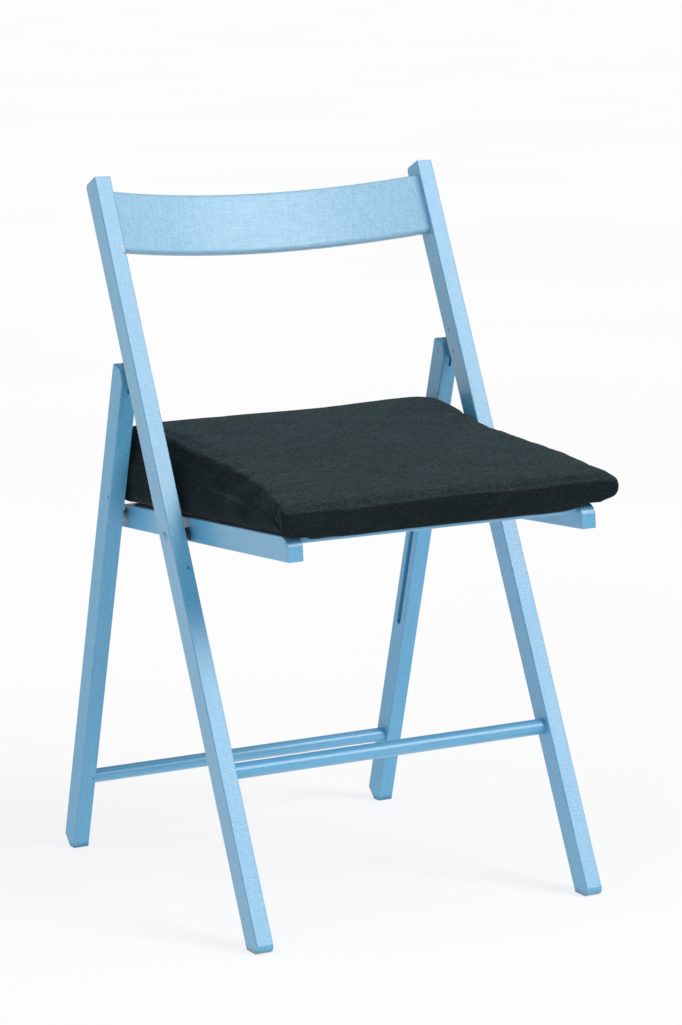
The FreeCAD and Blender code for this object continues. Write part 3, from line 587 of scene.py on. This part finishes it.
def inflate(piece, cap):
    """Cloth simulation under light pressure, with every point's move held under cap metres.

    Moves inwards are cut to a third, because the foam inside keeps the corners out.
    """
    scene = bpy.context.scene
    rest = [vertex.co.copy() for vertex in piece.data.vertices]
    normals = [vertex.normal.copy() for vertex in piece.data.vertices]
    cloth = piece.modifiers.new("cloth", "CLOTH")
    cloth.settings.quality = 5
    cloth.settings.mass = 0.3
    cloth.settings.tension_stiffness = 15
    cloth.settings.compression_stiffness = 15
    cloth.settings.bending_stiffness = 0.5
    cloth.settings.use_pressure = True
    cloth.settings.uniform_pressure_force = 4
    cloth.settings.effector_weights.gravity = 0
    cloth.point_cache.frame_start = 1
    cloth.point_cache.frame_end = CLOTH_FRAMES
    for step in range(1, CLOTH_FRAMES + 1):
        scene.frame_set(step)
    graph = bpy.context.evaluated_depsgraph_get()
    swollen = [vertex.co.copy() for vertex in piece.evaluated_get(graph).data.vertices]
    piece.modifiers.remove(cloth)
    scene.frame_set(1)
    for vertex, start, end, normal in zip(piece.data.vertices, rest, swollen, normals):
        move = end - start
        out = move.dot(normal)
        if out < 0:
            move -= normal * out * INWARD_CUT
        if move.length > cap:
            move *= cap / move.length
        vertex.co = start + move


# Room for the cover: half the width beside the posts, how far ahead of their faces that holds, up
# to where it widens and how fast. Then the rails' sides and front end, the slats' half width, where
# the floor over the slats starts to fall, where it ends and how steep it is.
BESIDE_POST = 187.8
POST_NEAR, POST_CLEAR, POST_SPREAD = 1.0, 6.0, 1.5
RAIL_SIDES, RAIL_FRONT = (160.0, 183.5), -231
SLAT_HALF, DROOP_START, DROOP_END = 184, -219, -224
DROOP_SLOPE = 1.8
REST_GAP = 1.4


def settle(point):
    """Holds a point of the cushion between the posts and above the rails and slats.

    The floor over the slats falls from DROOP_START on, which is 3 mm behind the front slat's front
    edge, so that the drooping nose cuts up to 2.3 mm into that edge.
    """
    x, back, up = to_seat(point)
    ahead = ahead_of_post(back, up)
    if ahead < POST_NEAR:
        x = min(max(x, -BESIDE_POST), BESIDE_POST)
    elif ahead < POST_CLEAR:
        room = BESIDE_POST + (ahead - POST_NEAR) * POST_SPREAD
        x = min(max(x, -room), room)
    over_rail = RAIL_SIDES[0] < abs(x) < RAIL_SIDES[1] and back > RAIL_FRONT
    over_slat = abs(x) < SLAT_HALF
    if over_rail or (back > DROOP_START and over_slat):
        up = max(up, RAIL_TOP + REST_GAP)
    elif DROOP_END < back <= DROOP_START and over_slat:
        up = max(up, RAIL_TOP + REST_GAP + (back - DROOP_START) * DROOP_SLOPE)
    return from_seat(x, back, up)


# Middle seam round the left side, the back and the right side, as (back, up). Depths and heights
# of what is pressed into the cover are in metres.
SEAM = ((-227, 27), (-200, 37), (-22, 56), (140, 73))
SEAM_WIDTH = 3.2
SEAM_DEPTH = 0.0016
# The tuck runs down and forward from its top, with a lip in front of it.
TUCK_BACK, TUCK_UP = -202, 42
TUCK_SLOPE = 1.15
TUCK_WIDTH = 3.0
TUCK_DEPTH, TUCK_LIP = 0.0024, 0.0016
SIDE_SLACK = 0.0016
TOP_RIPPLE, TOP_SWELL = 0.0003, 0.0016
FRONT_SLACK = 0.0011


def seam_height(back):
    """Height of the middle seam."""
    return along(SEAM, back)


def seam_push(back, up):
    """Groove along the middle seam."""
    away = abs(up - seam_height(back))
    return SEAM_DEPTH * math.exp(-(away / SEAM_WIDTH) ** 2)


def tuck_push(x, back, up):
    """Fold with a lip at the front left corner."""
    line = TUCK_BACK - (TUCK_UP - up) * TUCK_SLOPE
    near = (back - line) / TUCK_WIDTH
    fade = ease(-x, 150, 172) * ease(50 - up, 0, 14)
    return fade * (TUCK_LIP * math.exp(-(near + 1.6) ** 2) - TUCK_DEPTH * math.exp(-near ** 2))


def side_push(back, up):
    """Slanting slack in the left side, above its foot."""
    slack = noise.noise(Vector((back * 0.021 + up * 0.030, up * 0.055 - back * 0.012, 3.7)))
    return SIDE_SLACK * slack * ease(up, 22, 34)


def top_push(x, back):
    """Fine ripples towards the top's side edges and a broad swell over all of it."""
    edge = ease(abs(x), 120, 186)
    ripple = noise.noise(Vector((x * 0.006, back * 0.035, 9.1)))
    broad = noise.noise(Vector((x * 0.011, back * 0.010, 1.3)))
    return TOP_RIPPLE * ripple * edge + TOP_SWELL * broad


def crease(piece):
    """Presses the side seam, the tuck at the front left corner and slack wrinkles into the cover."""
    normals = [vertex.normal.copy() for vertex in piece.data.vertices]
    for vertex, normal in zip(piece.data.vertices, normals):
        x, back, up = to_seat(vertex.co)
        push = 0.0
        if normal.z < 0.75 and back > -226:
            push -= seam_push(back, up)
        if x < -150 and back < -195:
            push += tuck_push(x, back, up)
        if normal.x < -0.5:
            push += side_push(back, up)
        if normal.z > 0.5:
            push += top_push(x, back)
        if normal.y < -0.5 and normal.z < 0.5:
            push += FRONT_SLACK * noise.noise(Vector((x * 0.022, up * 0.04, 5.5)))
        vertex.co += normal * push


# The remesh's grid and the cloth's largest move, in metres. The cage is scaled by CAGE_SCALE about
# a point in the middle of the cushion.
VOXEL = 0.0042
CLOTH_REACH = 0.005
CAGE_SCALE = 0.992
CAGE_CENTRE = from_seat(10, -40, 55)


def make_cushion():
    """The cover over its foam: rounded cage, even mesh, cloth simulation, seams and wrinkles."""
    points, faces = cushion_cage()
    piece = mesh_object("cushion_body", points, faces)
    for vertex in piece.data.vertices:
        vertex.co = CAGE_CENTRE + (vertex.co - CAGE_CENTRE) * CAGE_SCALE
    subdivision = piece.modifiers.new("round", "SUBSURF")
    subdivision.levels = 2
    apply_modifiers(piece)
    smooth_form = cover_tree(piece)
    remesh = piece.modifiers.new("even", "REMESH")
    remesh.mode = "VOXEL"
    remesh.voxel_size = VOXEL
    apply_modifiers(piece)
    for vertex in piece.data.vertices:
        vertex.co = smooth_form.find_nearest(vertex.co)[0]
    inflate(piece, CLOTH_REACH)
    for vertex in piece.data.vertices:
        vertex.co = settle(vertex.co)
    smooth = piece.modifiers.new("soft", "SMOOTH")
    smooth.factor = 0.5
    smooth.iterations = 2
    subdivision = piece.modifiers.new("fine", "SUBSURF")
    subdivision.levels = 1
    apply_modifiers(piece)
    crease(piece)
    for vertex in piece.data.vertices:
        vertex.co = settle(vertex.co)
    piece.data.polygons.foreach_set("use_smooth", [True] * len(piece.data.polygons))
    piece.data.materials.clear()
    piece.data.materials.append(COVER)
    return piece


# How far out the search for the cover starts, and the step along the girdle.
OUTSIDE = 300
GIRDLE_STEP = 6
# Where the girdle turns from the sides to the back, and its first and last place on the back.
GIRDLE_CORNER = 150
GIRDLE_LEFT, GIRDLE_RIGHT = -174, 174
FORWARDS = from_seat(0, -1, 0) - from_seat(0, 0, 0)
# Half the room for cords beside the posts, and how far ahead of the posts' faces it holds. The
# cords' radii are in metres.
CORD_BESIDE_POST = 187.6
CORD_NEAR = 3
WELT_FRONT, WELT_RADIUS = -222, 0.0009
HEM_FRONT, HEM_RADIUS = -10, 0.0012
HEM_HEIGHT, HEM_RISE = 2.6, 2.6


def on_side(tree, side, back, up):
    """Place on the cover's left (-1) or right (1) side, found from outside, or None."""
    return tree.ray_cast(from_seat(side * OUTSIDE, back, up), Vector((-side, 0.0, 0.0)))[0]


def on_back(tree, across, up):
    """Place on the cover's back, found from behind, or None."""
    return tree.ray_cast(from_seat(across, OUTSIDE, up), FORWARDS.normalized())[0]


def girdle(tree, height, front):
    """Path round the left side, back and right side of the cover, at height(back)."""
    path = []
    for back in range(front, GIRDLE_CORNER, GIRDLE_STEP):
        path.append(on_side(tree, -1, back, height(back)))
    for across in range(GIRDLE_LEFT, GIRDLE_RIGHT + 1, GIRDLE_STEP):
        path.append(on_back(tree, across, height(GIRDLE_CORNER)))
    for back in range(GIRDLE_CORNER - GIRDLE_STEP, front, -GIRDLE_STEP):
        path.append(on_side(tree, 1, back, height(back)))
    return [place for place in path if place is not None]


def keep_inside(path):
    """Holds a path beside the posts, so that a cord on it doesn't touch them."""
    held = []
    for place in path:
        x, back, up = to_seat(place)
        if ahead_of_post(back, up) < CORD_NEAR:
            x = min(max(x, -CORD_BESIDE_POST), CORD_BESIDE_POST)
        held.append(from_seat(x, back, up))
    return held


def make_welt(tree):
    """Sewn edge that stands in the side seam."""
    path = girdle(tree, seam_height, WELT_FRONT)
    return tube("cushion_welt", keep_inside(path), WELT_RADIUS, COVER)


def hem_height(back):
    """Height of the brown hem, which rises towards the rear."""
    return RAIL_TOP + HEM_HEIGHT + HEM_RISE * ease(back, -60, 60)


def make_hem(tree):
    """Brown edge of the underside's cloth, rolled up round the sides and the back."""
    path = girdle(tree, hem_height, HEM_FRONT)
    return tube("cushion_hem", keep_inside(path), HEM_RADIUS, BASE)


# The cloth under the foam: cells each way, its edges, the radius of its corners, its thickness, its
# lift off the rails, and how often and how deep it sags between the slats.
UNDER_CELLS = 62
UNDER_HALF, UNDER_FRONT, UNDER_BACK = 177.0, -214.0, 150.0
UNDER_CORNER = 9.0
UNDER_THICK = 1.0
UNDER_LIFT = 0.15
SLAT_PITCH = 41.0
SAG = 0.45


def underside_point(i, j, layer):
    """Point of the cloth's grid, with its round corners and its sag between the slats."""
    x = -UNDER_HALF + (UNDER_HALF + UNDER_HALF) * i / UNDER_CELLS
    back = UNDER_FRONT + (UNDER_BACK - UNDER_FRONT) * j / UNDER_CELLS
    inset = max(0.0, UNDER_CORNER - min(back - UNDER_FRONT, UNDER_BACK - back))
    trim = UNDER_CORNER - math.sqrt(max(UNDER_CORNER * UNDER_CORNER - inset * inset, 0.0))
    x = min(max(x, -UNDER_HALF + trim), UNDER_HALF - trim)
    sag = SAG * (0.5 - 0.5 * math.cos(2 * math.pi * (back - UNDER_FRONT) / SLAT_PITCH))
    inner = ease(160 - abs(x), 0, 14)
    return from_seat(x, back, RAIL_TOP + UNDER_LIFT - sag * inner + layer * UNDER_THICK)


def make_underside():
    """Cloth under the foam. It lies on the rails, sinks between the slats and has round corners."""
    side = UNDER_CELLS + 1
    points = [underside_point(i, j, layer)
              for layer in range(2) for i in range(side) for j in range(side)]

    def index(i, j, layer):
        return (layer * side + i) * side + j

    faces = []
    for i in range(UNDER_CELLS):
        for j in range(UNDER_CELLS):
            square = ((i, j), (i, j + 1), (i + 1, j + 1), (i + 1, j))
            faces.append(tuple(index(*corner, 0) for corner in square))
            faces.append(tuple(index(*corner, 1) for corner in (square[0], *square[:0:-1])))
    ends = range(UNDER_CELLS)
    rim = [(i, 0) for i in ends] + [(UNDER_CELLS, j) for j in ends]
    rim += [(UNDER_CELLS - i, UNDER_CELLS) for i in ends] + [(0, UNDER_CELLS - j) for j in ends]
    for here, there in zip(rim, rim[1:] + rim[:1]):
        faces.append((index(*here, 0), index(*there, 0), index(*there, 1), index(*here, 1)))
    made = mesh_object("cushion_underside", points, faces)
    made.data.materials.append(BASE)
    return made


# ---------------------------------------------------------------------------
# Scene
# ---------------------------------------------------------------------------

# The fitted camera: place in metres, turns in degrees and focal length for a 36 mm wide sensor.
CAMERA_PLACE = (-1.6261, -3.0715, 1.0212)
CAMERA_YAW, CAMERA_PITCH, CAMERA_ROLL = -28.16, 10.07, 0.81
CAMERA_LENS = 114.16
SENSOR_WIDTH = 36.0


def make_camera():
    """The photo's camera, from its yaw about Z, its pitch down and its roll."""
    yaw, pitch, roll = (math.radians(turn) for turn in (CAMERA_YAW, CAMERA_PITCH, CAMERA_ROLL))
    ahead = Vector((-math.sin(yaw) * math.cos(pitch), math.cos(yaw) * math.cos(pitch),
                    -math.sin(pitch)))
    level = Vector((math.cos(yaw), math.sin(yaw), 0.0))
    below = ahead.cross(level)
    right = math.cos(roll) * level + math.sin(roll) * below
    down = math.cos(roll) * below - math.sin(roll) * level
    data = bpy.data.cameras.new("camera")
    data.lens = CAMERA_LENS
    data.sensor_width = SENSOR_WIDTH
    data.clip_end = 200.0
    camera = bpy.data.objects.new("camera", data)
    turn = Matrix((right, -down, -ahead)).transposed().to_4x4()
    camera.matrix_world = Matrix.Translation(CAMERA_PLACE) @ turn
    bpy.context.scene.collection.objects.link(camera)
    bpy.context.scene.camera = camera


# In metres.
FLOOR_RADIUS = 70.0
FLOOR_SIDES = 64


def make_floor():
    """Round floor, wide enough to fill the picture."""
    ring = [Vector((math.cos(angle), math.sin(angle), 0.0)) * FLOOR_RADIUS
            for angle in (2 * math.pi * step / FLOOR_SIDES for step in range(FLOOR_SIDES))]
    floor = mesh_object("floor", ring, [tuple(range(FLOOR_SIDES))], smooth=False)
    floor.data.materials.append(floor_material())


def make_sun(name, strength, width, azimuth, elevation):
    """Sun with its angles in degrees. Azimuth 0 shines from -Y and 90 from +X."""
    data = bpy.data.lights.new(name, "SUN")
    data.energy = strength
    data.angle = math.radians(width)
    sun = bpy.data.objects.new(name, data)
    turn, rise = math.radians(azimuth), math.radians(elevation)
    source = Vector((math.sin(turn) * math.cos(rise), -math.cos(turn) * math.cos(rise),
                     math.sin(rise)))
    sun.rotation_mode = "QUATERNION"
    sun.rotation_quaternion = source.to_track_quat("Z", "Y")
    bpy.context.scene.collection.objects.link(sun)


# How bright the world is as a lamp, and how bright the camera sees it.
WORLD_LIGHT, WORLD_SEEN = 0.32, 0.96


def make_light():
    """Even white world, a key from the front right and two wide fills."""
    world = bpy.data.worlds.new("studio")
    bpy.context.scene.world = world
    world.use_nodes = True
    tree = world.node_tree
    background = tree.nodes["Background"]
    background.inputs["Color"].default_value = (1.0, 1.0, 1.0, 1.0)
    path = tree.nodes.new("ShaderNodeLightPath")
    strength = tree.nodes.new("ShaderNodeMapRange")
    strength.inputs["To Min"].default_value = WORLD_LIGHT
    strength.inputs["To Max"].default_value = WORLD_SEEN
    tree.links.new(path.outputs["Is Camera Ray"], strength.inputs["Value"])
    tree.links.new(strength.outputs["Result"], background.inputs["Strength"])
    make_sun("key", 1.45, 30, 34, 36)
    make_sun("left_fill", 0.60, 90, -75, 30)
    make_sun("top_fill", 0.45, 70, 10, 75)
    bpy.context.scene.view_settings.view_transform = "Standard"


make_camera()
make_floor()
make_light()

# The cover's lighter threads on faces that look up are painted light on the top.
COVER = woven("cover_weave", (0.0065, 0.0100, 0.0120), (0.0175, 0.0265, 0.0305), 0.0013,
              lit_top=(0.050, 0.072, 0.079), depth=0.0004, sheen=0.15, tint=(0.60, 0.92, 1.0))
BASE = woven("underside_weave", (0.045, 0.026, 0.024), (0.120, 0.075, 0.068), 0.0011)

PAINTS = {
    "post": paint("paint_post", POST_LEAN, dents=0.05, chips=POST_MARKS, shift=1.0),
    "leg": paint("paint_leg", -LEG_LEAN, dents=0.30, chips=LEG_MARKS, shift=23.0, coat=0.30,
                 gloss=(0.38, 0.54)),
    "rail": paint("paint_rail", SEAT_TILT, grain="Y", speckle=0.5, shift=41.0),
    "slat": paint("paint_slat", SEAT_TILT, grain="X", speckle=0.6, shift=57.0),
    "rod": paint("paint_rod", grain="X", speckle=0.6, shift=71.0),
    # The panel's lighter tones are a painted highlight.
    "panel": paint("paint_panel", POST_LEAN, grain="X", speckle=0.4, linen=0.75, shift=83.0,
                   tones=PANEL_HIGHLIGHT_TONES, coat=0.3, gloss=(0.48, 0.62)),
    "head": paint("paint_head", speckle=0.3, shift=97.0),
}
STEEL = metal("zinc_steel", (0.45, 0.44, 0.42))
SPACER = plastic("moulded_spacer")


def finish_for(node):
    """Material of a CAD node, by its name."""
    if "post" in node:
        return PAINTS["post"]
    if "leg" in node and "pins" not in node:
        return PAINTS["leg"]
    if "rail" in node:
        return PAINTS["rail"]
    if "slat" in node:
        return PAINTS["slat"]
    if "stretcher" in node:
        return PAINTS["rod"]
    if node == "backrest_panel":
        return PAINTS["panel"]
    if node == "seat_pivot_bolts":
        return PAINTS["head"]
    if node == "pivot_spacers":
        return SPACER
    if node == "cushion_base":
        return BASE
    return STEEL


for node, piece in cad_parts.items():
    piece.data.materials.clear()
    piece.data.materials.append(finish_for(node))

cushion = make_cushion()
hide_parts("cushion_cover", "cushion_foam")
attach(cushion, "seat")
surface = cover_tree(cushion)
welt = make_welt(surface)
hem = make_hem(surface)
underside = make_underside()
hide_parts("cushion_base")
for trim in (welt, hem, underside):
    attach(trim, "seat")
for soft in (cushion, welt, hem, underside):
    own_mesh(soft)
